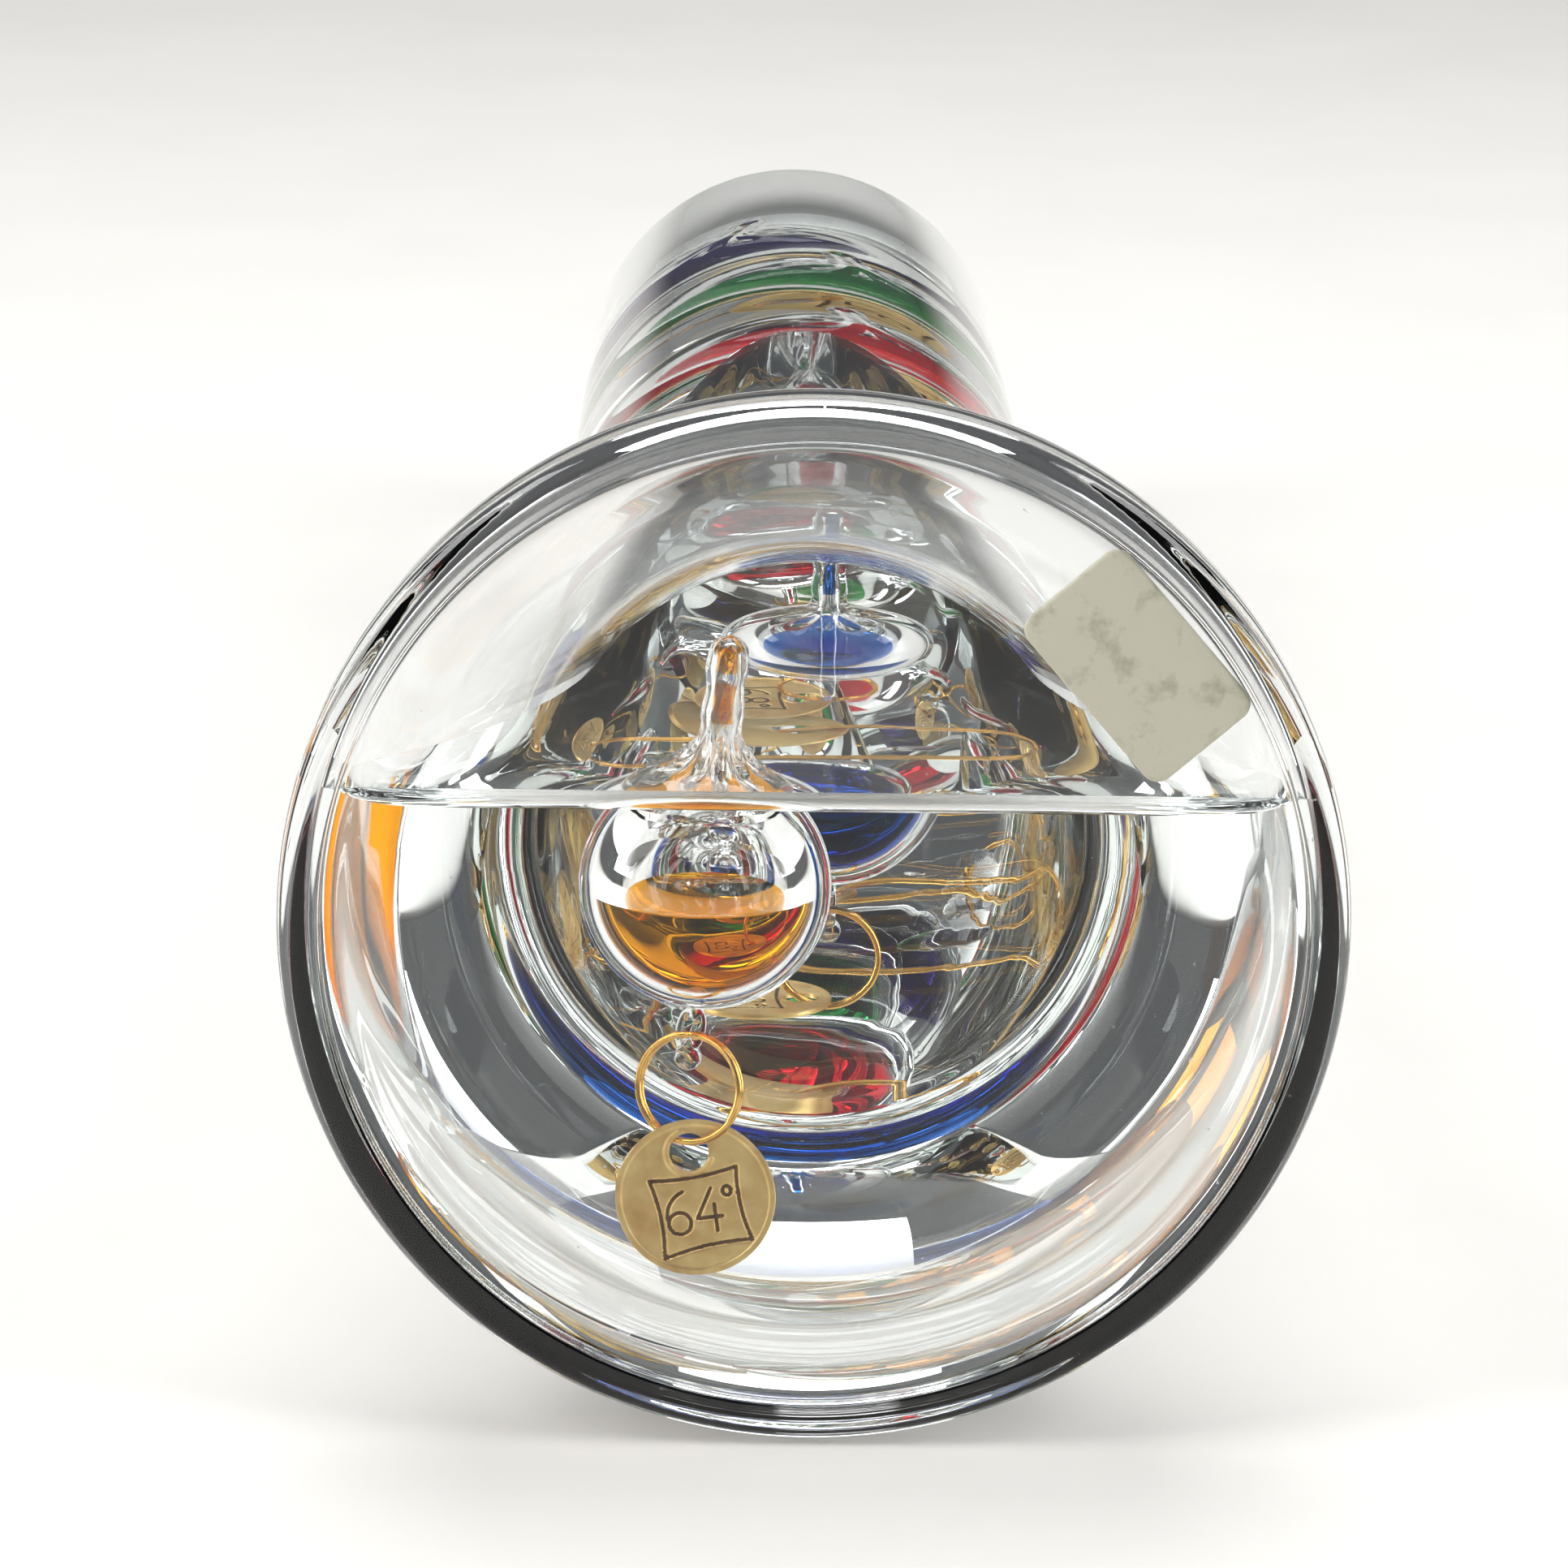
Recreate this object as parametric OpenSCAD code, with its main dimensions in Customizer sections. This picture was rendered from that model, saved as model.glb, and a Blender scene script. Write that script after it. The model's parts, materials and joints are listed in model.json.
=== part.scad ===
// Galileo thermometer, lying on its side as it was laid down on a table.
// A sealed glass tube with a flared foot is filled with clear liquid up to a level
// surface, and five dyed glass floats inside it each carry a brass ring and a tag.
// The foot faces -Y, the domed end points to +Y, and +Z is up. Millimetres.

/* [Vessel] */
// Radius of the foot
foot_r = 45; // [42:0.5:54]
// Outer radius of the tube
tube_r = 26.5; // [25.5:0.25:32]
// Distance from the foot face to the centre of the domed end
tube_len = 284; // [270:1:345]
// Distance from the foot face to where the flare leaves the tube
flare_len = 48; // [40:1:58]
// Wall thickness of the tube, dome and flare
wall = 2.2; // [1.6:0.1:2.6]
// Rounding of the foot's back edge
shoulder_round = 14; // [12:0.5:17]
// Distance from the foot face to the start of the back edge
shoulder_s = 5; // [4.5:0.25:7]
// Rounding of the foot's front edge
front_round = 2; // [1:0.25:2.5]
// Radius of the sealed tip on the dome
tip_r = 1.6; // [1:0.1:3]
// Height of the sealed tip above the dome
tip_len = 5; // [3:0.5:8]

/* [Foot plate] */
// Thickness of the plate that closes the foot
plate = 3; // [2:0.25:4]
// Depth of the recess in the foot face
recess = 1.2; // [1:0.1:1.8]
// Width of the flat ring that the foot stands on
rest_ring_w = 1.6; // [1:0.1:2.5]

/* [Pad] */
// Length of the self-adhesive pad
pad_len = 18; // [12:0.5:22]
// Width of the self-adhesive pad
pad_w = 11; // [7:0.2:13]
// Thickness of the self-adhesive pad
pad_t = 0.9; // [0.5:0.1:1]
// Corner radius of the self-adhesive pad
pad_corner = 1.5; // [1:0.25:3]
// Angle of the pad round the foot, up from the right
pad_angle = 41; // [0:1:90]

/* [Filling] */
// Height of the liquid surface above the foot's centre
liquid_level = 8; // [6:0.2:12]

/* [Floats] */
// Outer radius of a float's bulb
float_r = 10.8; // [9:0.1:11.5]
// Glass thickness of a float
float_wall = 0.9; // [0.6:0.1:1.4]
// Distance from a float's centre to the top of its neck
neck_top = 21.6; // [18:0.1:22]
// Outer radius of a float's neck
neck_r = 1.75; // [1.4:0.05:2]
// Bore radius of a float's neck
neck_bore = 1; // [0.6:0.05:1.1]
// Height of the dye surface above a float's centre
dye_level = -1; // [-5:0.5:3]
// Clearance between the amber float and the foot plate
amber_plate_gap = 0.4; // [0.4:0.1:2]
// Distance from the foot face to the blue float
blue_s = 76; // [70:1:90]
// Distance from the foot face to the red float
red_s = 176; // [150:1:184]
// Distance from the foot face to the green float
green_s = 219; // [212:1:221]
// Distance from the foot face to the violet float
violet_s = 246; // [244:1:262]

/* [Rings and tags] */
// Radius of a ring, to the middle of its wire
ring_r = 4.75; // [4.4:0.05:5]
// Radius of a ring's wire
wire_r = 0.3; // [0.25:0.01:0.35]
// Radius of a tag
tag_r = 7; // [6:0.1:7.2]
// Thickness of a tag
tag_t = 0.5; // [0.4:0.05:0.7]
// Radius of a tag's hole
tag_hole_r = 1.7; // [1.6:0.05:2]
// Distance from a tag's centre to its hole's centre
tag_hole_offset = 4.1; // [3.6:0.1:4.3]

/* [Hidden] */
$fn = 72;

// Clearance between a solid filling and the glass round it
fill_gap = 0.05;
// Clearance between a moving piece and the pocket it moves in
pocket_gap = 0.6;
// How far a shape passes the face where it is joined or cut
overrun = 1;
// Room between the pad and the wall of the recess that it lies in
pad_edge_gap = 0.9;
// Length of the dye that is caught in the end of a float's neck
caught_dye_len = 6;

// --- Outline of the vessel, as radius and distance s from the foot face ---
plate_top = recess + plate;
recess_r = foot_r - front_round - rest_ring_w;
shoulder = [foot_r - shoulder_round, shoulder_s];
// The flare's hollow arc touches the tube at flare_len and the shoulder's round arc
flare_rise = flare_len - shoulder_s;
flare_step = shoulder[0] - tube_r;
flare_r = (flare_step * flare_step + flare_rise * flare_rise - shoulder_round * shoulder_round)
    / (2 * (flare_step + shoulder_round));
flare_centre = [tube_r + flare_r, flare_len];
dome_top = tube_len + tube_r;

// --- How it lies: the foot's shoulder and the dome both touch the table ---
rest_run = tube_len - shoulder_s;
lie_angle = atan2(shoulder[0], rest_run)
    + asin((shoulder_round - tube_r) / norm([shoulder[0], rest_run]));
axis_h = tube_r + tube_len * sin(lie_angle);
front_y = front_round * cos(lie_angle) - (foot_r - front_round) * sin(lie_angle) - front_round;
back_y = (dome_top + tip_len - tip_r) * cos(lie_angle) + tip_r;
mid_y = (front_y + back_y) / 2;
level_z = axis_h + liquid_level;

// A point at distance s along the tube's axis, x to the right and v above the axis
function inside(s, x, v) = [
    x,
    s * cos(lie_angle) + v * sin(lie_angle) - mid_y,
    axis_h - s * sin(lie_angle) + v * cos(lie_angle)
];

// --- Floats: place, lean and way that the tag points ---
FLOAT_COUNT = 5;
amber_s = plate_top + float_r + amber_plate_gap;
FLOAT_S = [amber_s, blue_s, red_s, green_s, violet_s];
FLOAT_X = [-9.2, 2, 4, 4, -5];
FLOAT_V = [1.2, 1.4, 1, 1, 1];
FLOAT_LEAN = [5, 0, 0, 0, 0];
TAG_WAY = [0, -1, -1, -1, 1];
FLOAT_COLOUR = ["orange", "navy", "crimson", "seagreen", "indigo"];
// Room left between two floats that have slid as near to each other as they go
meeting_gap = 1;
// The amber float stays in the wide foot and drifts across it
amber_drift = 18;
// The last float stops this far short of the dome's centre
dome_clearance = 6;
last_stop_s = tube_len - dome_clearance;

function float_at(i) = inside(FLOAT_S[i], FLOAT_X[i], FLOAT_V[i]);

// Distance from the foot face to the point where floats i and i + 1 meet
function meeting_s(i) = i == 0
    ? flare_len + float_wall
    : (FLOAT_S[i] + FLOAT_S[i + 1]) / 2;
// Travel along the tube towards the foot and towards the dome, and across the foot
function travel_low(i) = i == 0
    ? 0
    : meeting_s(i - 1) + float_r + meeting_gap / 2 - FLOAT_S[i];
function travel_high(i) = i == 0
    ? 0
    : i == FLOAT_COUNT - 1
        ? last_stop_s - FLOAT_S[i]
        : meeting_s(i) - float_r - meeting_gap / 2 - FLOAT_S[i];
function travel_across(i) = i == 0 ? amber_drift : 0;

// --- Eye under a float, its ring and its tag ---
// Radius of the eye to the middle of its glass thread, and radius of the thread
eye_r = 1.6;
eye_wire_r = 0.75;
// Radius of the glass bead that ends the eye, and how far its middle is below the eye's edge
eye_ball_r = 1.2;
bead_below = 0.9;
// Distance from a bulb's underside to the middle of its eye
eye_below = 2.2;
// Clearance between the eye's thread and the wire that hangs in it
eye_play = 0.12;
eye_drop = float_r + eye_below;
hang_drop = eye_drop + eye_r - eye_wire_r - wire_r - eye_play;
ball_drop = eye_drop + eye_r + bead_below;
// The first ring is turned this far from its tag, so that it threads the tag's hole
ring_turn = -24;
// The first tag's lower edge lies on the flare, which leans ring and tag to the plate
ring_lean = 10;
// The first tag hangs this far out of plumb on its ring
tag_roll = 8;
// Height of the first ring's wire above the middle of its tag's hole
thread_rise = 0.9;
// Height of a lying tag's middle above the bottom of its ring
lying_rise = 0.65;
lying_reach = sqrt(ring_r * ring_r - pow(ring_r - lying_rise, 2));

function hang_at(i) = float_at(i)
    + hang_drop * [-sin(FLOAT_LEAN[i]), 0, -cos(FLOAT_LEAN[i])];
// Ring and tag are drawn about the point where they hang
RING_DROP = [0, 0, -ring_r];
function tag_drop(i) = TAG_WAY[i] == 0
    ? RING_DROP - [0, 0, ring_r + thread_rise + tag_hole_offset]
    : RING_DROP + [TAG_WAY[i] * (lying_reach + tag_hole_offset), 0, lying_rise - ring_r];
function hang_lean(i) = TAG_WAY[i] == 0 ? -ring_lean : 0;
// Lowest point of float i's tag or ring below its centre
function reach_below(i) = hang_drop - tag_drop(i)[2] + (TAG_WAY[i] == 0 ? tag_r : ring_r);

// Lays a piece that is drawn upright, with its axis up from the foot face, on its side
module lie() {
    translate([0, -mid_y, axis_h])
        rotate([-90 - lie_angle, 0, 0])
            children();
}

// Half outline of the vessel, moved inwards by inset and cut off at distance front
module vessel_outline(inset, front) {
    translate([0, front])
        square([tube_r - inset, tube_len - front]);
    intersection() {
        translate([0, tube_len])
            circle(r = tube_r - inset);
        translate([0, tube_len - overrun])
            square([tube_r, tube_r + overrun]);
    }
    translate([0, front])
        square([foot_r - inset, shoulder_s - front]);
    intersection() {
        translate(shoulder)
            circle(r = shoulder_round - inset);
        translate(shoulder)
            square(shoulder_round);
    }
    difference() {
        polygon([[0, shoulder_s], shoulder, flare_centre, [0, flare_len]]);
        translate(flare_centre)
            circle(r = flare_r + inset);
    }
}

// Half outline of the glass tip that seals the dome
module tip_outline() {
    tip_base = 4 * tip_r;
    polygon([
        [0, dome_top - wall / 2],
        [tip_base, dome_top - wall],
        [1.5 * tip_r, dome_top + tip_len / 4],
        [tip_r, dome_top + tip_len - tip_r],
        [0, dome_top + tip_len - tip_r]
    ]);
    intersection() {
        translate([0, dome_top + tip_len - tip_r])
            circle(r = tip_r);
        translate([0, dome_top + tip_len - 2 * tip_r])
            square([tip_r, 2 * tip_r]);
    }
}

// Tube, flare, dome and sealed tip in one blown piece, open towards the foot plate
module glass_body() {
    color("azure", 0.35)
        lie()
            rotate_extrude()
                difference() {
                    union() {
                        vessel_outline(0, plate_top);
                        tip_outline();
                    }
                    vessel_outline(wall, plate_top - overrun);
                }
}

// Plate that closes the foot, with a rounded edge, a rest ring and a shallow recess
module base_disc() {
    color("azure", 0.35)
        lie()
            rotate_extrude()
                difference() {
                    union() {
                        square([foot_r - front_round, plate_top]);
                        translate([0, front_round])
                            square([foot_r, plate_top - front_round]);
                        intersection() {
                            translate([foot_r - front_round, front_round])
                                circle(r = front_round);
                            translate([foot_r - front_round, 0])
                                square(front_round);
                        }
                    }
                    square([recess_r, recess]);
                }
}

// Space that float i, its ring and its tag need over their travel
module float_pocket(i) {
    ball_r = float_r + pocket_gap;
    slot = neck_r + 2 * pocket_gap;
    side_r = tag_r + 2 * pocket_gap;
    tag_x = tag_drop(i)[0];
    left = min(0, tag_x) - side_r - pocket_gap;
    right = max(0, tag_x) + side_r + travel_across(i);
    run = travel_high(i) - travel_low(i);
    // A plumb line leans towards the dome and a neck to the foot, as the tube lies nose-down
    neck_lean = neck_top * sin(lie_angle);
    back = run + side_r + reach_below(i) * sin(lie_angle);
    front = i == 0 ? plate_top - FLOAT_S[i] : -side_r;
    lie()
        translate([FLOAT_X[i], -FLOAT_V[i], FLOAT_S[i] + travel_low(i)]) {
            if (i == 0)
                translate([-ball_r, -ball_r, front])
                    cube([2 * ball_r + travel_across(i), 2 * ball_r, ball_r - front]);
            else
                translate([0, 0, -ball_r])
                    cylinder(r = ball_r, h = run + 2 * ball_r);
            translate([-slot, -foot_r, -slot - neck_lean])
                cube([2 * slot + neck_r + travel_across(i), foot_r, run + 2 * slot + neck_lean]);
            translate([left, slot, front])
                cube([right - left, foot_r, back - front]);
        }
}

// Liquid up to its level surface, without the pockets that the floats move in
module fill_liquid() {
    color("lightcyan", 0.3)
        difference() {
            intersection() {
                lie()
                    rotate_extrude()
                        vessel_outline(wall + fill_gap, plate_top);
                translate([-foot_r, -tube_len, level_z - 4 * foot_r])
                    cube([2 * foot_r, 2 * tube_len, 4 * foot_r]);
            }
            for (i = [0 : FLOAT_COUNT - 1])
                float_pocket(i);
        }
}

// Rounded self-adhesive pad in the recess of the foot face
module base_pad() {
    pad_mid = recess_r - pad_edge_gap - pad_w / 2;
    core_len = pad_len - 2 * pad_corner;
    core_w = pad_w - 2 * pad_corner;
    color("ivory")
        lie()
            rotate([0, 0, -pad_angle])
                translate([pad_mid, 0, recess - pad_t])
                    linear_extrude(height = pad_t) {
                        square([core_w, pad_len], center = true);
                        square([pad_w, core_len], center = true);
                        for (x = [-1, 1], y = [-1, 1])
                            translate([x * core_w / 2, y * core_len / 2])
                                circle(r = pad_corner, $fn = 32);
                    }
}

// Blown bulb of float i with its sealed neck above and its eye below
module float_glass(i) {
    color(FLOAT_COLOUR[i], 0.4)
        translate(float_at(i))
            rotate([0, FLOAT_LEAN[i], 0])
                difference() {
                    union() {
                        sphere(r = float_r);
                        cylinder(r = neck_r, h = neck_top - neck_r);
                        translate([0, 0, neck_top - neck_r])
                            sphere(r = neck_r);
                        translate([0, 0, -eye_drop])
                            rotate([0, 90, i == 0 ? ring_turn : 0])
                                rotate_extrude()
                                    translate([eye_r, 0])
                                        circle(r = eye_wire_r, $fn = 24);
                        translate([0, 0, -ball_drop])
                            sphere(r = eye_ball_r, $fn = 32);
                    }
                    sphere(r = float_r - float_wall);
                    cylinder(r = neck_bore, h = neck_top - neck_r);
                }
}

// Dye in the lower part of float i, and the dye caught in the end of its neck
module float_dye(i) {
    dye_r = float_r - float_wall - fill_gap;
    color(FLOAT_COLOUR[i])
        translate(float_at(i)) {
            intersection() {
                sphere(r = dye_r);
                translate([-dye_r, -dye_r, -2 * dye_r])
                    cube([2 * dye_r, 2 * dye_r, 2 * dye_r + dye_level]);
            }
            rotate([0, FLOAT_LEAN[i], 0])
                translate([0, 0, neck_top - neck_r - caught_dye_len])
                    cylinder(r = neck_bore - fill_gap, h = caught_dye_len - fill_gap);
        }
}

// Places a ring or a tag of float i where it hangs in the eye
module hang(i) {
    translate(hang_at(i))
        rotate([hang_lean(i), 0, 0])
            children();
}

// Wire ring that hangs in the eye of float i
module float_ring(i) {
    color("gold")
        hang(i)
            translate(RING_DROP)
                rotate([90, 0, i == 0 ? ring_turn : 0])
                    rotate_extrude()
                        translate([ring_r, 0])
                            circle(r = wire_r, $fn = 24);
}

// Stamped tag on the ring of float i, hanging from it or lying in the tube
module float_tag(i) {
    color("goldenrod")
        hang(i)
            translate(tag_drop(i))
                rotate(TAG_WAY[i] == 0 ? [90, 0, 0] : [0, 0, TAG_WAY[i] * 90])
                    translate([0, tag_hole_offset, 0])
                        rotate([0, 0, TAG_WAY[i] == 0 ? tag_roll : 0])
                            difference() {
                                translate([0, -tag_hole_offset, -tag_t / 2])
                                    cylinder(r = tag_r, h = tag_t);
                                translate([0, 0, -tag_t])
                                    cylinder(r = tag_hole_r, h = 2 * tag_t);
                            }
}

glass_body();
base_disc();
fill_liquid();
base_pad();
float_glass(0);  // amber_float_glass
float_dye(0);  // amber_float_dye
float_ring(0);  // amber_ring
float_tag(0);  // amber_tag
float_glass(1);  // blue_float_glass
float_dye(1);  // blue_float_dye
float_ring(1);  // blue_ring
float_tag(1);  // blue_tag
float_glass(2);  // red_float_glass
float_dye(2);  // red_float_dye
float_ring(2);  // red_ring
float_tag(2);  // red_tag
float_glass(3);  // green_float_glass
float_dye(3);  // green_float_dye
float_ring(3);  // green_ring
float_tag(3);  // green_tag
float_glass(4);  // violet_float_glass
float_dye(4);  // violet_float_dye
float_ring(4);  // violet_ring
float_tag(4);  // violet_tag
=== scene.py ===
"""Galileo thermometer lying on its side: its looks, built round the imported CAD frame.

Sizes are in millimetres until a mesh is made. A piece of the vessel is drawn upright, with its axis up from
the foot face, and is then laid on its side; a float is drawn upright about its centre.
"""
import json
import logging
import math
import random
from dataclasses import dataclass, field
from enum import Enum
from typing import Callable

import bmesh
import bpy
import numpy as np
from mathutils import Matrix, Vector, noise


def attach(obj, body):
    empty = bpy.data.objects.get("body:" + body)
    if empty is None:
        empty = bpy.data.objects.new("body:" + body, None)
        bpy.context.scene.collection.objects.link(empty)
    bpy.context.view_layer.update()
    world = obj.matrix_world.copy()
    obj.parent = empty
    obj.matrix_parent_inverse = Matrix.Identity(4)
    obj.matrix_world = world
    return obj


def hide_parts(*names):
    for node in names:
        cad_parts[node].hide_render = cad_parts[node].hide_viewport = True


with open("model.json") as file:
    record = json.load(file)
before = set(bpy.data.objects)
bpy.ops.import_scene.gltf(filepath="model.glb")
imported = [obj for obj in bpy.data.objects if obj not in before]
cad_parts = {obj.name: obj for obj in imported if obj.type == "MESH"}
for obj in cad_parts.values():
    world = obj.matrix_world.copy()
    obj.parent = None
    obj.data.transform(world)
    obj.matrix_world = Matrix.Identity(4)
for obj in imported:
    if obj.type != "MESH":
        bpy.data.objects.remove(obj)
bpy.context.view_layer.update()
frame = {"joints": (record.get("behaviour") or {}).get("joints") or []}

LOG = logging.getLogger("thermometer")
MM = 0.001
UP = Vector((0, 0, 1))
Profile = list[tuple[float, float]]
Plane = tuple[Vector, Vector]
Rgba = tuple[float, float, float, float]


# --- Small tools -------------------------------------------------------------------------------------------


def linear(hex_code: str) -> Rgba:
    """Turns an sRGB hex colour to a linear one.

    Args:
        hex_code: Six hex digits after a hash sign.

    Returns:
        Linear red, green and blue, and an alpha of 1.
    """
    channels = [int(hex_code[i:i + 2], 16) / 255 for i in (1, 3, 5)]
    bent = [c / 12.92 if c <= 0.04045 else ((c + 0.055) / 1.055) ** 2.4 for c in channels]
    return (bent[0], bent[1], bent[2], 1.0)


def per_metre(size_mm: float) -> float:
    """Returns the texture scale whose features are about size_mm wide."""
    return 1 / (size_mm * MM)


def add_node(tree: bpy.types.NodeTree, kind: str, settings: dict | None = None,
             inputs: dict | None = None) -> bpy.types.Node:
    """Adds one node with its settings, its constants and its links.

    Args:
        tree: The material's node tree.
        kind: Blender's type name of the node.
        settings: Attributes to set on the node.
        inputs: For each input, by name or number, a constant or the output socket that feeds it.

    Returns:
        The new node.
    """
    added = tree.nodes.new(kind)
    for name, value in (settings or {}).items():
        setattr(added, name, value)
    for name, value in (inputs or {}).items():
        if isinstance(value, bpy.types.NodeSocket):
            tree.links.new(value, added.inputs[name])
        else:
            added.inputs[name].default_value = value
    return added


def fresh_material(name: str) -> tuple[bpy.types.Material, bpy.types.NodeTree, bpy.types.Node,
                                       bpy.types.NodeSocket]:
    """Makes a material and returns it with its tree, its shader and its Object coordinates."""
    material = bpy.data.materials.new(name)
    material.use_nodes = True
    tree = material.node_tree
    place = add_node(tree, "ShaderNodeTexCoord")
    return material, tree, tree.nodes["Principled BSDF"], place.outputs["Object"]


def clouded(tree: bpy.types.NodeTree, place: bpy.types.NodeSocket, size_mm: float,
            detail: float) -> bpy.types.NodeSocket:
    """Adds a noise texture whose features are about size_mm wide, and returns its value."""
    noisy = add_node(tree, "ShaderNodeTexNoise", {},
                     {"Vector": place, "Scale": per_metre(size_mm), "Detail": detail})
    return noisy.outputs["Fac"]


def ranged(tree: bpy.types.NodeTree, value: bpy.types.NodeSocket, low: float, high: float,
           to: tuple[float, float] = (0.0, 1.0)) -> bpy.types.NodeSocket:
    """Adds a map from the range low to high to another range, and returns its value."""
    mapped = add_node(tree, "ShaderNodeMapRange", {},
                      {"Value": value, "From Min": low, "From Max": high, "To Min": to[0], "To Max": to[1]})
    return mapped.outputs["Result"]


def tinted(tree: bpy.types.NodeTree, shader: bpy.types.Node, factor: bpy.types.NodeSocket, first: str,
           second: str) -> None:
    """Colours a shader with a blend of two hex colours."""
    tints = add_node(tree, "ShaderNodeMix", {"data_type": "RGBA"},
                     {"Factor": factor, "A": linear(first), "B": linear(second)})
    tree.links.new(tints.outputs["Result"], shader.inputs["Base Color"])


def bumped(tree: bpy.types.NodeTree, shader: bpy.types.Node, height: bpy.types.NodeSocket, depth_mm: float,
           strength: float) -> None:
    """Roughens a shader's surface with bumps of a depth in millimetres."""
    bump = add_node(tree, "ShaderNodeBump", {},
                    {"Height": height, "Distance": depth_mm * MM, "Strength": strength})
    tree.links.new(bump.outputs["Normal"], shader.inputs["Normal"])


def made_clear(shader: bpy.types.Node, ior: float) -> None:
    """Sets a shader to let light through, with a refractive index and no roughness."""
    shader.inputs["Transmission Weight"].default_value = 1.0
    shader.inputs["Roughness"].default_value = 0.0
    shader.inputs["IOR"].default_value = ior


def arc(centre: tuple[float, float], radius: float, start: float, end: float, steps: int) -> Profile:
    """Returns steps + 1 points on an arc, from angle start to angle end in degrees."""
    angles = [math.radians(start + (end - start) * i / steps) for i in range(steps + 1)]
    return [(centre[0] + radius * math.cos(a), centre[1] + radius * math.sin(a)) for a in angles]


def only(obj: bpy.types.Object) -> None:
    """Makes obj the only selected object, and the active one."""
    bpy.ops.object.select_all(action="DESELECT")
    bpy.context.view_layer.objects.active = obj
    obj.select_set(True)


def linked(name: str, data: bpy.types.ID) -> bpy.types.Object:
    """Makes an object of its data, in the scene."""
    made = bpy.data.objects.new(name, data)
    bpy.context.scene.collection.objects.link(made)
    return made


def edit(obj: bpy.types.Object, *, select: str = "SELECT") -> None:
    """Makes obj the only selected one and opens it in edit mode.

    Args:
        obj: The object to edit.
        select: SELECT or DESELECT, for all of its mesh.
    """
    only(obj)
    bpy.ops.object.mode_set(mode="EDIT")
    bpy.ops.mesh.select_mode(type="VERT")
    bpy.ops.mesh.select_all(action=select)


def pick(obj: bpy.types.Object, mode: str, choose: Callable[[bmesh.types.BMFace], bool]) -> None:
    """Opens obj in edit mode with only some of its edges or faces selected.

    Args:
        obj: The object to edit.
        mode: EDGE or FACE.
        choose: Says whether an edge or face is selected.
    """
    edit(obj, select="DESELECT")
    bpy.ops.mesh.select_mode(type=mode)
    mesh = bmesh.from_edit_mesh(obj.data)
    for part in (mesh.edges if mode == "EDGE" else mesh.faces):
        part.select_set(choose(part))
    mesh.select_flush_mode()
    bmesh.update_edit_mesh(obj.data)


def leave_edit() -> None:
    """Goes back to object mode."""
    bpy.ops.object.mode_set(mode="OBJECT")


def spun(name: str, profile: Profile, steps: int, *, hollow: bool = False) -> bpy.types.Object:
    """Turns a half outline round the Z axis, as on a lathe.

    Args:
        name: The new piece's name.
        profile: Points (radius, height) in millimetres, in order.
        steps: Number of steps round the axis.
        hollow: Whether the faces point inwards, as a bore's do.

    Returns:
        The new object, with its mesh in metres.
    """
    bpy.ops.object.select_all(action="DESELECT")
    bpy.ops.mesh.primitive_plane_add(size=MM)
    piece = bpy.context.object
    piece.name = name
    edit(piece)
    bpy.ops.mesh.merge(type="CENTER")
    last = (0.0, 0.0)
    for index, point in enumerate(profile):
        shift = ((point[0] - last[0]) * MM, 0.0, (point[1] - last[1]) * MM)
        if index == 0:
            bpy.ops.transform.translate(value=shift)
        else:
            bpy.ops.mesh.extrude_region_move(TRANSFORM_OT_translate={"value": shift})
        last = point
    bpy.ops.mesh.select_all(action="SELECT")
    bpy.ops.mesh.spin(steps=steps, angle=math.tau, center=(0, 0, 0), axis=(0, 0, 1))
    bpy.ops.mesh.select_all(action="SELECT")
    bpy.ops.mesh.remove_doubles(threshold=2e-6)
    bpy.ops.mesh.normals_make_consistent(inside=hollow)
    leave_edit()
    return piece


def joined(main: bpy.types.Object, *others: bpy.types.Object) -> bpy.types.Object:
    """Joins others into main and returns it."""
    bpy.ops.object.select_all(action="DESELECT")
    for piece in (main, *others):
        piece.select_set(True)
    bpy.context.view_layer.objects.active = main
    bpy.ops.object.join()
    return main


def cut(main: bpy.types.Object, tool: bpy.types.Object, operation: str) -> None:
    """Applies an exact Boolean to main and deletes the tool.

    Args:
        main: The piece that stays.
        tool: The piece that cuts or joins.
        operation: DIFFERENCE or UNION.
    """
    boolean = main.modifiers.new("cut", "BOOLEAN")
    boolean.operation = operation
    boolean.solver = "EXACT"
    boolean.object = tool
    only(main)
    bpy.ops.object.modifier_apply(modifier=boolean.name)
    bpy.data.objects.remove(tool)


def bisected(piece: bpy.types.Object, plane: Plane) -> None:
    """Cuts edges into a piece, already in its place, where a plane crosses it."""
    edit(piece)
    bpy.ops.mesh.bisect(plane_co=plane[0], plane_no=plane[1])
    leave_edit()


def level(height: float) -> Plane:
    """Returns the level plane at a height in metres."""
    return (Vector((0, 0, height)), UP)


def below(place: Vector, plane: Plane) -> bool:
    """Says whether a place is below a plane."""
    return (place - plane[0]).dot(plane[1]) < 0


def assign(piece: bpy.types.Object, materials: list[bpy.types.Material],
           choose: Callable[[bpy.types.MeshPolygon], int]) -> None:
    """Gives each face one of several materials, and keeps the borders between them sharp.

    Args:
        piece: The piece to dress.
        materials: The materials in the order of their numbers.
        choose: Gives a face's material number.
    """
    piece.data.materials.clear()
    for material in materials:
        piece.data.materials.append(material)
    for face in piece.data.polygons:
        face.material_index = choose(face)
    mesh = bmesh.new()
    mesh.from_mesh(piece.data)
    for edge in mesh.edges:
        if len(edge.link_faces) == 2:
            first, second = edge.link_faces
            if first.material_index != second.material_index:
                edge.smooth = False
    mesh.to_mesh(piece.data)
    mesh.free()


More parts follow.
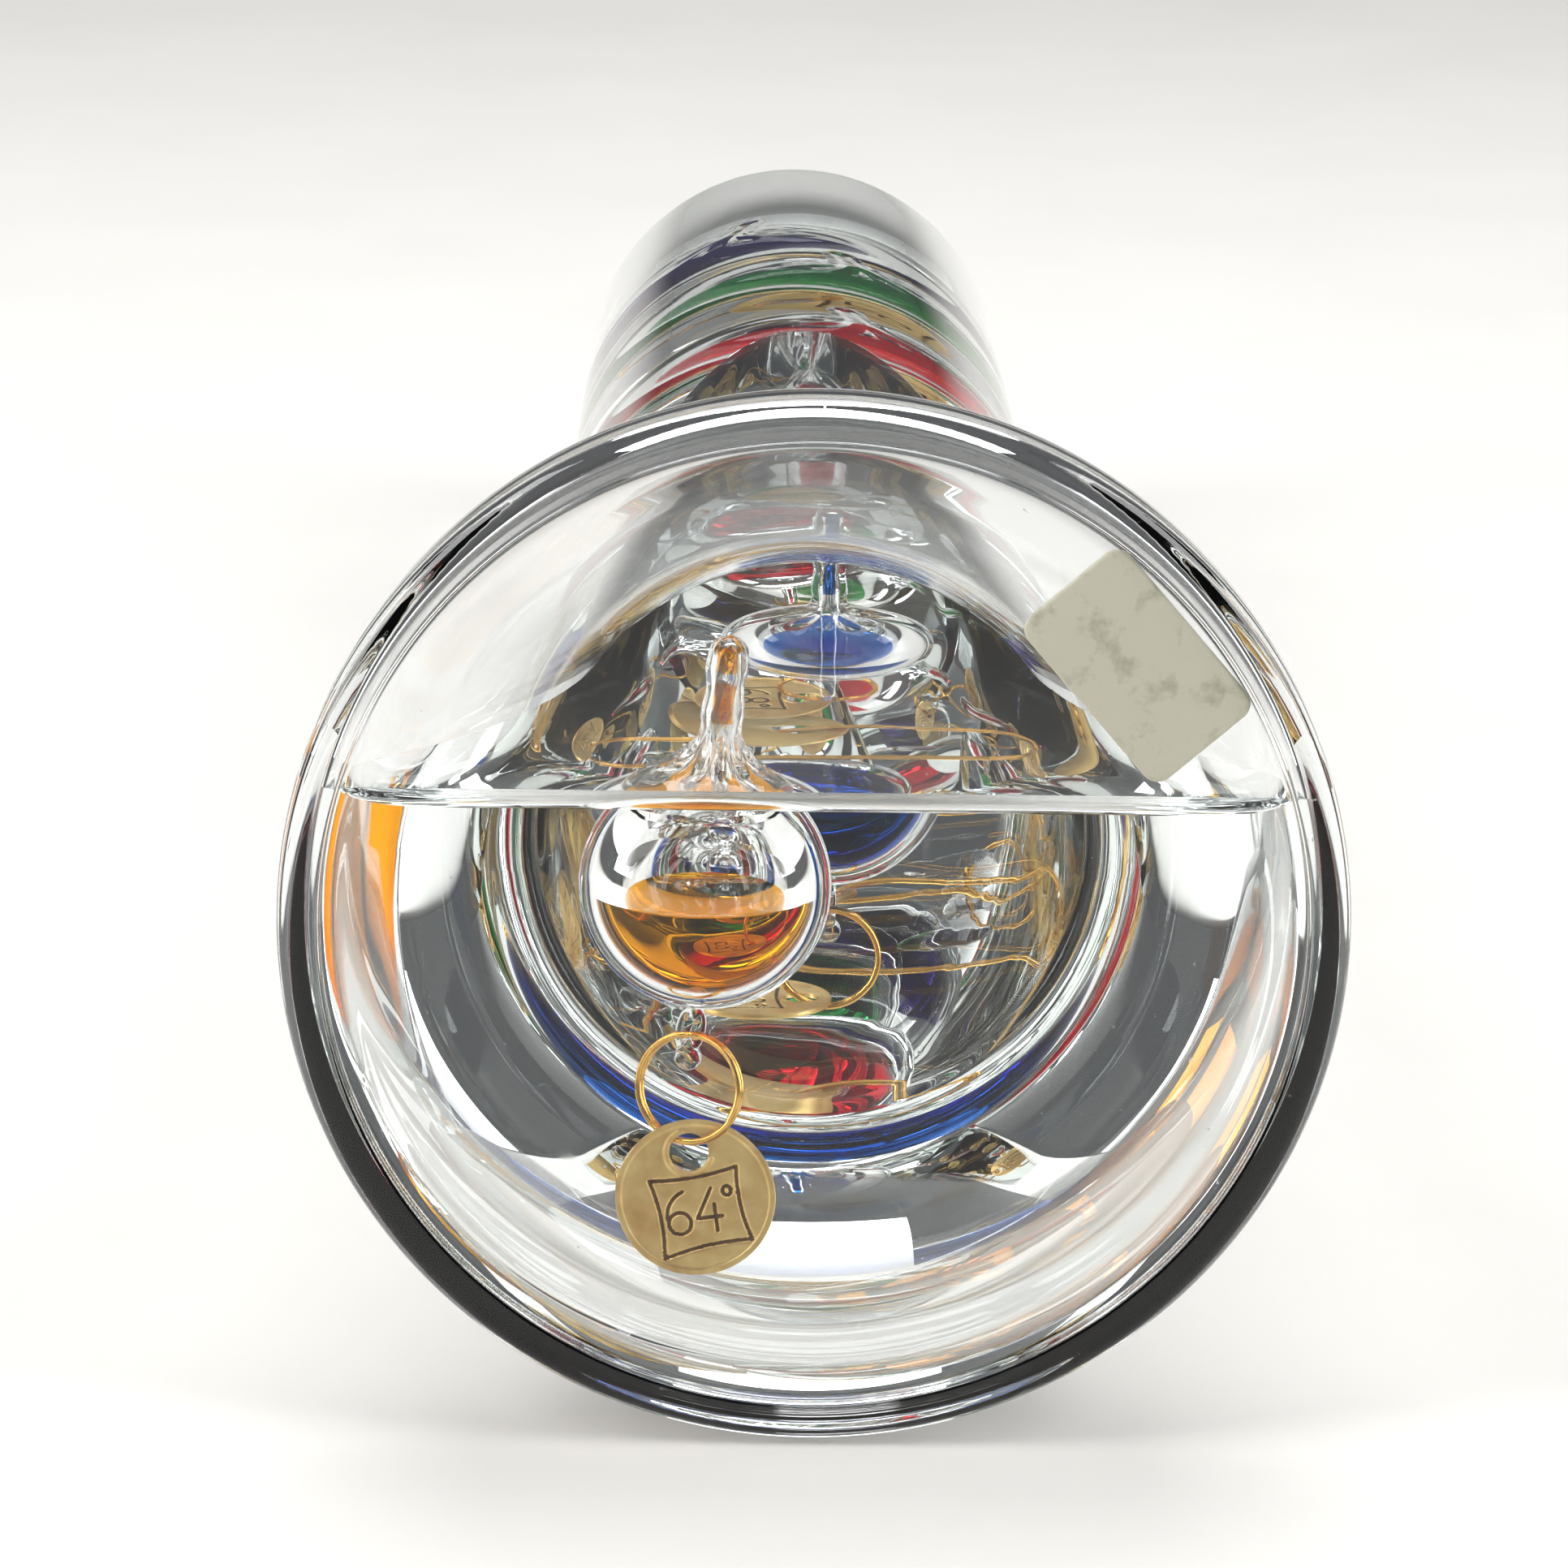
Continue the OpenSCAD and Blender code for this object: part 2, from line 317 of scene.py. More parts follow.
def smoothed(piece: bpy.types.Object, angle: float) -> None:
    """Shades a piece smooth up to an angle between faces, in degrees."""
    only(piece)
    bpy.ops.object.shade_smooth_by_angle(angle=math.radians(angle), keep_sharp_edges=True)


def sealed(piece: bpy.types.Object) -> bpy.types.Object:
    """Merges a piece's doubled points, turns its faces outwards, and returns it."""
    edit(piece)
    bpy.ops.mesh.remove_doubles(threshold=1e-6)
    bpy.ops.mesh.normals_make_consistent(inside=False)
    leave_edit()
    return piece


def placed(piece: bpy.types.Object, where: Matrix) -> bpy.types.Object:
    """Moves a piece's mesh, so that its object stays at the origin, and returns it."""
    piece.data.transform(where)
    piece.data.update()
    return piece


def handed_in(piece: bpy.types.Object, name: str, body: str, slot: str, *nodes: str) -> None:
    """Names a piece, sets what it rides on and stands for, and logs it."""
    piece.name = name
    piece.data.name = name
    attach(piece, body)
    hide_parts(*nodes)
    LOG.info("%s: %d faces, rides on %s, for %s", name, len(piece.data.polygons), body, ", ".join(nodes))


# --- Finishes ----------------------------------------------------------------------------------------------


@dataclass(frozen=True)
class ClearGlass:
    """Fire-polished blown glass: sharp reflections, with the faint drag waves of blowing."""

    name: str
    ior: float
    tint: str = "#FDFEFE"
    wave_mm: float = 14.0
    wave_depth_mm: float = 0.010
    smudges: bool = False

    def material(self) -> bpy.types.Material:
        """Returns the glass as a material."""
        material, tree, shader, place = fresh_material(self.name)
        shader.inputs["Base Color"].default_value = linear(self.tint)
        made_clear(shader, self.ior)
        # Long soft waves run round the tube, as glass drags on the blower's tool
        bumped(tree, shader, clouded(tree, place, self.wave_mm, 1.0), self.wave_depth_mm, 1.0)
        if self.smudges:
            # Finger marks and dust dull the outside in small patches
            patches = ranged(tree, clouded(tree, place, 9.0, 6.0), 0.62, 0.8, (0.0, 0.09))
            flecks = ranged(tree, clouded(tree, place, 1.1, 2.0), 0.74, 0.8, (0.0, 0.4))
            dull = add_node(tree, "ShaderNodeMath", {"operation": "ADD"}, {0: patches, 1: flecks})
            tree.links.new(dull.outputs["Value"], shader.inputs["Roughness"])
        return material


@dataclass(frozen=True)
class StillLiquid:
    """Clear light oil: a flat, mirror-smooth surface, with a breath of cloud in its colour."""

    name: str
    ior: float
    colour: str = "#FFFFFF"
    cloud: str = "#FBFDFC"

    def material(self) -> bpy.types.Material:
        """Returns the liquid as a material."""
        material, tree, shader, place = fresh_material(self.name)
        tinted(tree, shader, clouded(tree, place, 20.0, 2.0), self.colour, self.cloud)
        made_clear(shader, self.ior)
        return material


@dataclass(frozen=True)
class DyedLiquid:
    """Dyed water: a strong clear colour that deepens towards the bottom of the bulb."""

    name: str
    ior: float
    shallow: str
    deep: str
    surface_z: float
    depth_mm: float = 9.0

    def material(self) -> bpy.types.Material:
        """Returns the dye as a material."""
        material, tree, shader, place = fresh_material(self.name)
        height = add_node(tree, "ShaderNodeSeparateXYZ", {}, {"Vector": place})
        depth = ranged(tree, height.outputs["Z"], self.surface_z, self.surface_z - self.depth_mm * MM)
        swirl = clouded(tree, place, 6.0, 2.0)
        blend = add_node(tree, "ShaderNodeMath", {"operation": "MULTIPLY_ADD"}, {0: swirl, 1: 0.3, 2: depth})
        tinted(tree, shader, blend.outputs["Value"], self.shallow, self.deep)
        made_clear(shader, self.ior)
        return material


@dataclass(frozen=True)
class DrawnBrassWire:
    """Bright drawn brass wire: warm, glossy, with fine die lines and a little tarnish."""

    name: str = "drawn_brass_wire"

    def material(self) -> bpy.types.Material:
        """Returns the wire as a material."""
        material, tree, shader, place = fresh_material(self.name)
        tarnish = clouded(tree, place, 1.6, 4.0)
        tinted(tree, shader, tarnish, "#F2C66A", "#C4883A")
        tree.links.new(ranged(tree, tarnish, 0.0, 1.0, (0.12, 0.3)), shader.inputs["Roughness"])
        bumped(tree, shader, clouded(tree, place, 0.15, 2.0), 0.004, 0.6)
        shader.inputs["Metallic"].default_value = 1.0
        return material


@dataclass(frozen=True)
class StampedBrass:
    """Satin stamped brass: pale warm gold with a sandy grain from the blank; a dark copy of it paints shade
    into the tag's grooves.
    """

    name: str
    colour: str = "#FFE09A"
    shade: str = "#DDB068"
    roughness: float = 0.46

    def material(self) -> bpy.types.Material:
        """Returns the brass as a material."""
        material, tree, shader, place = fresh_material(self.name)
        tinted(tree, shader, ranged(tree, clouded(tree, place, 3.5, 5.0), 0.35, 0.7), self.colour, self.shade)
        # The grain is drawn about twice as coarse as real, to show
        grain = clouded(tree, place, 0.22, 3.0)
        gloss = ranged(tree, grain, 0.0, 1.0, (self.roughness - 0.1, self.roughness + 0.12))
        tree.links.new(gloss, shader.inputs["Roughness"])
        bumped(tree, shader, grain, 0.02, 0.7)
        shader.inputs["Metallic"].default_value = 1.0
        return material


@dataclass(frozen=True)
class SoiledFoam:
    """Off-white closed-cell foam: dull and faintly pitted, with grey dirt rubbed in, in patches."""

    name: str = "closed_cell_foam"

    def material(self) -> bpy.types.Material:
        """Returns the foam as a material."""
        material, tree, shader, place = fresh_material(self.name)
        dirt = add_node(tree, "ShaderNodeTexNoise", {},
                        {"Vector": place, "Scale": per_metre(3.2), "Detail": 6.0,
                         "Roughness": 0.62})
        tinted(tree, shader, ranged(tree, dirt.outputs["Fac"], 0.52, 0.78), "#C2BFAC", "#8A8872")
        pits = add_node(tree, "ShaderNodeTexVoronoi", {},
                        {"Vector": place, "Scale": per_metre(0.35)})
        bumped(tree, shader, pits.outputs["Distance"], 0.03, 0.5)
        shader.inputs["Roughness"].default_value = 0.85
        return material


class Index(Enum):
    """Refractive index from one side of a surface to the other."""

    GLASS_TO_AIR = 1.474
    GLASS_TO_LIQUID = 1.045
    LIQUID_TO_AIR = 1.41
    GLASS_TO_DYE = 1.10
    DYE_TO_AIR = 1.34
    # The liquid's own wall lies against glass, whose face already bends the light
    NONE = 1.0


# --- The vessel --------------------------------------------------------------------------------------------


@dataclass
class Vessel:
    """The blown tube with its flared foot, the liquid in it and the pad stuck on its foot."""

    foot_r: float = 45
    tube_r: float = 26.5
    tube_len: float = 284
    flare_len: float = 48
    wall: float = 2.2
    shoulder_round: float = 14
    shoulder_s: float = 5
    front_round: float = 2
    tip_r: float = 1.6
    tip_len: float = 5
    plate: float = 3
    recess: float = 1.2
    rest_ring_w: float = 1.6
    pad_len: float = 18
    pad_w: float = 11
    pad_t: float = 0.9
    pad_corner: float = 1.5
    pad_angle: float = 41
    pad_edge_gap: float = 0.9
    liquid_level: float = 8
    climb: float = 3.0
    nose_climb: float = 6.0
    nose_reach: float = 60.0
    climb_reach: float = 2.0
    skin: float = 0.03
    tip_flare: float = 2.2
    tip_foot_r: float = 5.0
    drag_depth: float = 0.08
    steps: int = 224
    lie: float = field(init=False)
    axis_h: float = field(init=False)
    mid_y: float = field(init=False)

    def __post_init__(self) -> None:
        """Works out how the vessel lies: its foot's shoulder and its dome both touch the table."""
        run = self.tube_len - self.shoulder_s
        shoulder = self.foot_r - self.shoulder_round
        span = math.hypot(shoulder, run)
        self.lie = math.atan2(shoulder, run) + math.asin((self.shoulder_round - self.tube_r) / span)
        self.axis_h = self.tube_r + self.tube_len * math.sin(self.lie)
        dome_top = self.tube_len + self.tube_r
        low_edge = (self.foot_r - self.front_round) * math.sin(self.lie)
        front_y = self.front_round * math.cos(self.lie) - low_edge - self.front_round
        back_y = (dome_top + self.tip_len - self.tip_r) * math.cos(self.lie) + self.tip_r
        self.mid_y = (front_y + back_y) / 2

    @property
    def laid(self) -> Matrix:
        """The turn and shift that lay an upright piece on its side, in metres."""
        shift = Matrix.Translation((0, -self.mid_y * MM, self.axis_h * MM))
        return shift @ Matrix.Rotation(-math.pi / 2 - self.lie, 4, "X")

    @property
    def level_z(self) -> float:
        """Height of the liquid's level surface, in millimetres."""
        return self.axis_h + self.liquid_level

    def curve(self, inset: float) -> Profile:
        """Returns the outline from the foot's side to the dome's top, moved inwards.

        Args:
            inset: How far the outline is moved inwards.

        Returns:
            Points (radius, distance from the foot face).
        """
        shoulder = (self.foot_r - self.shoulder_round, self.shoulder_s)
        rise = self.flare_len - self.shoulder_s
        step = shoulder[0] - self.tube_r
        flare_r = (step ** 2 + rise ** 2 - self.shoulder_round ** 2) / (2 * (step + self.shoulder_round))
        centre = (self.tube_r + flare_r, self.flare_len)
        lean = math.degrees(math.atan2(centre[1] - shoulder[1], centre[0] - shoulder[0]))
        points = arc(shoulder, self.shoulder_round - inset, 0, lean, 22)
        points += arc(centre, flare_r + inset, lean + 180, 180, 26)[1:]
        count = 20
        straight = self.tube_len - self.flare_len
        for i in range(1, count):
            points.append((self.tube_r - inset, self.flare_len + straight * i / count))
        return points + arc((0, self.tube_len), self.tube_r - inset, 0, 90, 26)

    def outside(self) -> Profile:
        """Returns the outline of the outside, from the middle of the foot face to the sealed tip."""
        soft = 0.5
        ring_in = self.foot_r - self.front_round - self.rest_ring_w
        face = self.foot_r - self.front_round
        points = [(0, self.recess), (ring_in / 3, self.recess), (ring_in * 2 / 3, self.recess)]
        points += arc((ring_in - soft, self.recess - soft), soft, 90, 0, 4)
        points += arc((ring_in + soft, soft), soft, 180, 270, 4)
        points += arc((face, self.front_round), self.front_round, -90, 0, 10)
        points += self.curve(0)
        dome_top = self.tube_len + self.tube_r
        points = [p for p in points if p[1] < self.tube_len or p[0] > self.tip_foot_r]
        last = points[-1]
        count, hollow = 10, 2.4
        for i in range(1, count + 1):
            t = i / count
            radius = self.tip_r + (last[0] - self.tip_r) * (1 - t) ** hollow
            points.append((radius, last[1] + (dome_top + self.tip_flare - last[1]) * t))
        return points + arc((0, dome_top + self.tip_len - self.tip_r), self.tip_r, 0, 90, 8)

    def cavity(self, inset: float) -> Profile:
        """Returns the outline of the cavity, from the middle of the plate's inside to the dome.

        Args:
            inset: Clearance inside the glass.
        """
        plate_top = self.recess + self.plate
        corner = 0.8
        side = self.foot_r - self.wall
        points = [(0, plate_top + inset)]
        points += arc((side - corner, plate_top + corner), corner - inset, -90, 0, 6)
        return points + self.curve(self.wall + inset)[1:]

    def glass(self) -> bpy.types.Object:
        """Makes the glass, with its outside and its bore."""
        outside = spun("vessel_outside", self.outside(), self.steps)
        self.dragged(outside)
        bore = spun("vessel_bore", self.cavity(0), self.steps, hollow=True)
        placed(outside, self.laid)
        placed(bore, self.laid)
        planes = self.wet_planes()
        for plane in planes:
            bisected(bore, plane)
        clear = ClearGlass("fire_polished_glass", Index.GLASS_TO_AIR.value, smudges=True).material()
        dry = ClearGlass("dry_bore_glass", Index.GLASS_TO_AIR.value).material()
        wet = ClearGlass("wet_bore_glass", Index.GLASS_TO_LIQUID.value).material()
        assign(outside, [clear], lambda face: 0)
        assign(bore, [dry, wet], lambda face: int(any(below(face.center, plane) for plane in planes)))
        smoothed(outside, 60)
        smoothed(bore, 60)
        return joined(outside, bore)

    def dragged(self, outside: bpy.types.Object) -> None:
        """Pulls the blown outside a little in, unevenly, as no blown tube is quite round."""
        for vertex in outside.data.vertices:
            at = vertex.co / MM
            radius = math.hypot(at.x, at.y)
            if at.z > self.shoulder_s + self.shoulder_round and radius > self.tube_r / 2:
                drag = self.drag_depth * (1 + noise.noise(Vector((at.x / 30, at.y / 30, at.z / 22))))
                vertex.co.x -= at.x / radius * drag * MM
                vertex.co.y -= at.y / radius * drag * MM

    def stations(self) -> Profile:
        """Returns the cavity's outline with extra points where the air bubble narrows to its nose."""
        points = self.cavity(self.skin)[1:]
        bore = self.tube_r - self.wall - self.skin
        nose = self.nose_s()
        count, margin = 40, 3
        extra = [(bore, nose - self.nose_reach * (1 - i / count) ** 2) for i in range(count + 1)]
        kept = [p for p in points if p[1] < nose - self.nose_reach or p[1] > nose + margin]
        return sorted(kept + extra, key=lambda p: (p[1], -p[0]))

    def nose_s(self) -> float:
        """Returns the distance from the foot face at which the bubble ends."""
        bore = self.tube_r - self.wall - self.skin
        return (bore * math.cos(self.lie) - self.liquid_level - self.nose_climb) / math.sin(self.lie)

    def climb_at(self, s: float) -> float:
        """Returns how far the liquid climbs the glass: more where the bubble ends in a blunt nose.

        Args:
            s: Distance from the foot face.
        """
        near = (s - self.nose_s() + self.nose_reach) / self.nose_reach
        return self.climb + (self.nose_climb - self.climb) * min(1.0, max(0.0, near))

    def wet_planes(self) -> list[Plane]:
        """Returns the two planes below which the bore is wet: one level, one rising to the nose."""
        start_s = self.nose_s() - self.nose_reach
        rise = (self.nose_climb - self.climb) / self.nose_reach
        height = self.level_z + self.climb
        along = (start_s + (height - self.axis_h) * math.sin(self.lie)) / math.cos(self.lie) - self.mid_y
        start = Vector((0, along, height)) * MM
        slope = Vector((0, -rise * math.cos(self.lie), 1 + rise * math.sin(self.lie)))
        return [(start, UP), (start, slope.normalized())]

    def filling(self) -> bpy.types.Object:
        """Makes the liquid as a loft of cross-sections, with a surface that climbs where it meets glass.

        The surface is level but for its rim, which rises by climb and dies away over climb_reach.
        """
        wall_count, surface_count, crowding, closed = 150, 72, 2.4, 1e-6
        rows = []
        first_s = self.stations()[0][1]
        for radius, s in self.stations():
            still = (self.liquid_level + s * math.sin(self.lie)) / math.cos(self.lie)
            rim = still + self.climb_at(s) / math.cos(self.lie)
            half = math.acos(min(1.0, rim / radius))
            width = radius * math.sin(half)
            row = []
            for i in range(wall_count + 1):
                angle = half + (math.tau - 2 * half) * i / wall_count
                row.append((radius * math.sin(angle), radius * math.cos(angle)))
            plate_rise = math.exp(-(s - first_s) / self.climb_reach)
            for i in range(1, surface_count):
                t = 2 * i / surface_count - 1
                # The points crowd towards the glass, where the surface bends
                x = width * math.copysign(1 - (1 - abs(t)) ** crowding, t)
                if half > closed:
                    side_rise = math.cosh(x / self.climb_reach) / math.cosh(width / self.climb_reach)
                    rise = side_rise + plate_rise - side_rise * plate_rise
                    row.append((x, still + (rim - still) * rise))
                else:
                    row.append((0.0, radius))
            rows.append([Vector((x, -v, s)) * MM for x, v in row])
        mesh = bmesh.new()
        grid = [[mesh.verts.new(p) for p in row] for row in rows]
        count = wall_count + surface_count
        free = set()
        for near, far in zip(grid, grid[1:]):
            for i in range(count):
                j = (i + 1) % count
                face = mesh.faces.new((near[i], near[j], far[j], far[i]))
                face.material_index = int(i < wall_count)
                if i >= wall_count:
                    free.add(face)
        cap = mesh.faces.new(grid[0])
        cap.material_index = 1
        end = mesh.faces.new(grid[-1])
        end.material_index = 1
        bmesh.ops.remove_doubles(mesh, verts=mesh.verts, dist=1e-6)
        bmesh.ops.dissolve_degenerate(mesh, dist=1e-7, edges=mesh.edges)
        bmesh.ops.recalc_face_normals(mesh, faces=mesh.faces)
        data = bpy.data.meshes.new("filling")
        mesh.to_mesh(data)
        mesh.free()
        liquid = placed(linked("filling", data), self.laid)
        surface = StillLiquid("light_oil_surface", Index.LIQUID_TO_AIR.value).material()
        against = StillLiquid("light_oil_against_glass", Index.NONE.value).material()
        numbers = [face.material_index for face in data.polygons]
        assign(liquid, [surface, against], lambda face: numbers[face.index])
        smoothed(liquid, 60)
        return liquid

    def pad(self) -> bpy.types.Object:
        """Makes the stuck-on foam pad, with round corners, a soft edge and an uneven outer face."""
        voxel, unevenness, glue = 0.16, 0.05, 0.01
        bpy.ops.object.select_all(action="DESELECT")
        bpy.ops.mesh.primitive_cube_add(size=1)
        pad = bpy.context.object
        pad.data.transform(Matrix.Diagonal((self.pad_w * MM, self.pad_len * MM, self.pad_t * MM, 1)))
        pick(pad, "EDGE", lambda edge: abs(edge.verts[0].co.z - edge.verts[1].co.z) > self.pad_t * MM / 2)
        bpy.ops.mesh.bevel(offset=self.pad_corner * MM, segments=10, affect="EDGES")
        leave_edit()
        remesh = pad.modifiers.new("even", "REMESH")
        remesh.mode = "VOXEL"
        remesh.voxel_size = voxel * MM
        bpy.ops.object.modifier_apply(modifier=remesh.name)
        soften = pad.modifiers.new("soften", "SMOOTH")
        soften.iterations = 4
        soften.factor = 0.5
        bpy.ops.object.modifier_apply(modifier=soften.name)
        for vertex in pad.data.vertices:
            at = vertex.co / MM
            dip = unevenness * (noise.noise(at / 2.5) - 1) if at.z < 0 else 0.0
            vertex.co.z -= dip * MM
        ring_in = self.foot_r - self.front_round - self.rest_ring_w
        middle = ring_in - self.pad_edge_gap - self.pad_w / 2
        turn = Matrix.Rotation(math.radians(-self.pad_angle), 4, "Z")
        shift = Matrix.Translation((middle * MM, 0, (self.recess - self.pad_t / 2 - glue) * MM))
        placed(pad, self.laid @ turn @ shift)
        assign(pad, [SoiledFoam().material()], lambda face: 0)
        smoothed(pad, 60)
        return pad

    def build(self) -> None:
        """Builds the glass, the liquid and the pad."""
        handed_in(self.glass(), "vessel_glass", "vessel", "vessel_glass", "glass_body", "base_disc")
        handed_in(self.filling(), "clear_filling", "vessel", "clear_liquid", "fill_liquid")
        handed_in(self.pad(), "foam_pad", "vessel", "adhesive_pad", "base_pad")


# --- The floats --------------------------------------------------------------------------------------------


class TagWay(Enum):
    """How a tag rests: hanging from its ring, or lying to one side of it."""

    HANGING = 0
    LEFT = -1
    RIGHT = 1


def numeral(character: str) -> list[Profile]:
    """Returns the strokes of one character, in units of its height.

    Args:
        character: A digit that a tag carries, or the degree sign.
    """
    loop = arc((0, 0), 1, 0, 360, 18)
    strokes = {
        "0": [[(0.27 + 0.25 * x, 0.5 + 0.5 * y) for x, y in loop]],
        "2": [arc((0.27, 0.73), 0.26, 160, -35, 10) + [(0.03, 0.0), (0.56, 0.0)]],
        "4": [[(0.38, 1.0), (0.0, 0.33), (0.58, 0.33)], [(0.42, 0.62), (0.42, 0.0)]],
        "6": [arc((0.6, 0.42), 0.6, 108, 184, 8), [(0.27 + 0.26 * x, 0.26 + 0.26 * y) for x, y in loop]],
        "7": [[(0.02, 1.0), (0.55, 1.0), (0.18, 0.0)]],
        "8": [[(0.27 + 0.2 * x, 0.77 + 0.22 * y) for x, y in loop],
              [(0.27 + 0.25 * x, 0.27 + 0.26 * y) for x, y in loop]],
        "°": [[(0.06 + 0.1 * x, 0.9 + 0.11 * y) for x, y in loop]],
    }
    return strokes[character]


@dataclass
class Dye:
    """The two ends of a dye's colour."""

    shallow: str
    deep: str


@dataclass
class Float:
    """One blown float with its dye, its brass ring and its tag."""

    name: str
    reading: str
    dye: Dye
    way: TagWay
    wet_all_over: bool
    lean: float = 0.0
    turn: float = 0.0
    tag_roll: float = 0.0
    ring_lean: float = 0.0
    bulb_r: float = 10.8
    wall: float = 0.9
    neck_top: float = 21.6
    neck_r: float = 1.75
    neck_bore: float = 1.0
    dye_level: float = -1.0
    eye_r: float = 1.6
    eye_wire_r: float = 0.7
    eye_ball_r: float = 1.2
    eye_drop: float = 13.0
    ball_drop: float = 15.5
    hang_drop: float = 13.43
    ring_r: float = 4.75
    wire_r: float = 0.3
    tag_r: float = 7.0
    tag_t: float = 0.5
    hole_r: float = 1.7
    hole_offset: float = 4.1
    thread_rise: float = 0.9
    lying_rise: float = 0.65
    rim_h: float = 0.08
    lip_h: float = 0.12
    groove_depth: float = 0.16
    groove_w: float = 0.4
    reading_x: float = -2.6
    reading_y: float = -3.1
    reading_h: float = 3.8
    folds: int = 9
    fold_depth: float = 0.42
    bore_fold_depth: float = 0.3
    fillet: float = 4.2
    bore_fillet: float = 4.6
    tip_wall: float = 0.75
    dye_climb: float = 0.7
    hang: Vector = field(init=False)
    centre: Vector = field(init=False)

    def __post_init__(self) -> None:
        """Takes the place of the float from the joint that its ring hangs on."""
        joint = next(j for j in frame["joints"] if j["name"] == f"{self.name}_ring_swing")
        self.hang = Vector(joint["pos_m"]) / MM
        lean = math.radians(self.lean)
        self.centre = self.hang + self.hang_drop * Vector((math.sin(lean), 0, math.cos(lean)))

    @property
    def upright(self) -> Matrix:
        """The turn, lean and shift that put a float drawn upright in its place."""
        lean = Matrix.Rotation(math.radians(self.lean), 4, "Y")
        return Matrix.Translation(self.centre * MM) @ lean @ Matrix.Rotation(math.radians(self.turn), 4, "Z")

    def bulb_profile(self, bulb: float, neck: float, fillet: float, top: float) -> Profile:
        """Returns a bulb's outline, with a hollow fillet up to its neck.

        Args:
            bulb: Radius of the bulb.
            neck: Radius of the neck.
            fillet: Radius of the hollow between them.
            top: Height of the neck's round end.
        """
        high = math.sqrt((bulb + fillet) ** 2 - (neck + fillet) ** 2)
        lean = math.degrees(math.atan2(high, neck + fillet))
        points = arc((0, 0), bulb, -90, lean, 44)
        points += arc((neck + fillet, high), fillet, lean + 180, 180, 8)[1:]
        count = 8
        bead = 0.07 * neck
        for i in range(1, count):
            t = i / count
            points.append((neck + bead * math.sin(3 * math.pi * t), high + (top - neck - high) * t))
        return points + arc((0, top - neck), neck, 0, 90, 8)

    def fluted(self, piece: bpy.types.Object, depth: float) -> None:
        """Presses the folds that a glass blower's jaws leave round the root of the neck.

        Args:
            piece: A bulb drawn upright at the origin.
            depth: Depth of the folds in millimetres, with its sign.
        """
        root_r, root_w, inner_r, outer_r = 3.0, 1.4, 0.5, 6.5
        for vertex in piece.data.vertices:
            at = vertex.co / MM
            radius = math.hypot(at.x, at.y)
            if at.z > 0 and inner_r < radius < outer_r:
                weight = math.exp(-((radius - root_r) / root_w) ** 2)
                turn = math.atan2(at.y, at.x)
                vertex.co.z += depth * weight * math.cos(self.folds * turn) * MM

    def glass(self) -> bpy.types.Object:
        """Makes the bulb, its sealed neck, its eye and its tail ball as one glass."""
        steps = 108
        outline = self.bulb_profile(self.bulb_r, self.neck_r, self.fillet, self.neck_top)
        outside = spun("float_outside", outline, steps)
        self.fluted(outside, -self.fold_depth)
        bpy.ops.object.select_all(action="DESELECT")
        bpy.ops.mesh.primitive_torus_add(
            location=(0, 0, -self.eye_drop * MM), rotation=(0, math.pi / 2, 0), major_segments=48,
            minor_segments=20, major_radius=self.eye_r * MM, minor_radius=self.eye_wire_r * MM)
        eye = bpy.context.object
        bpy.ops.object.transform_apply(location=True, rotation=True)
        cut(outside, eye, "UNION")
        bpy.ops.object.select_all(action="DESELECT")
        bpy.ops.mesh.primitive_uv_sphere_add(
            segments=36, ring_count=18, radius=self.eye_ball_r * MM, location=(0, 0, -self.ball_drop * MM))
        ball = bpy.context.object
        bpy.ops.object.transform_apply(location=True)
        cut(outside, ball, "UNION")
        inner = self.bulb_profile(self.bulb_r - self.wall, self.neck_bore, self.bore_fillet,
                                  self.neck_top - self.tip_wall)
        bore = spun("float_bore", inner, steps, hollow=True)
        self.fluted(bore, self.bore_fold_depth)
        placed(outside, self.upright)
        placed(bore, self.upright)
        water = level(Vessel().level_z * MM)
        dye_top = level((self.centre.z + self.dye_level + self.dye_climb) * MM)
        if not self.wet_all_over:
            bisected(outside, water)
        bisected(bore, dye_top)
        dry = ClearGlass(f"{self.name}_float_dry_glass", Index.GLASS_TO_AIR.value, wave_mm=7,
                         wave_depth_mm=0.012).material()
        wet = ClearGlass(f"{self.name}_float_wet_glass", Index.GLASS_TO_LIQUID.value, wave_mm=7).material()
        dyed = ClearGlass(f"{self.name}_float_dyed_glass", Index.GLASS_TO_DYE.value, wave_mm=7).material()
        assign(outside, [dry, wet],
               lambda face: int(self.wet_all_over or below(face.center, water)))
        assign(bore, [dry, dyed], lambda face: int(below(face.center, dye_top)))
        smoothed(outside, 45)
        smoothed(bore, 60)
        return joined(outside, bore)

    def dyes(self) -> bpy.types.Object:
        """Makes the pool of dye, level and with a climbing rim, and the two drops caught in the neck."""
        skin = 0.04
        radius = self.bulb_r - self.wall - skin
        climb, reach = self.dye_climb, 0.9
        rim_z = self.dye_level + climb
        rim_r = math.sqrt(radius ** 2 - rim_z ** 2)
        start = math.degrees(math.atan2(rim_z, rim_r))
        profile = arc((0, 0), radius, -90, start, 40)
        count = 30
        for i in range(1, count + 1):
            r = rim_r * (1 - (i / count) ** 1.8)
            profile.append((r, self.dye_level + climb * math.exp(-(rim_r - r) / reach)))
        pool = spun("dye_pool", profile, 96)
        placed(pool, Matrix.Translation(self.centre * MM))
        pool_top = (self.centre.z + self.dye_level) * MM
        drops = []
        side = self.neck_bore - 2 * skin
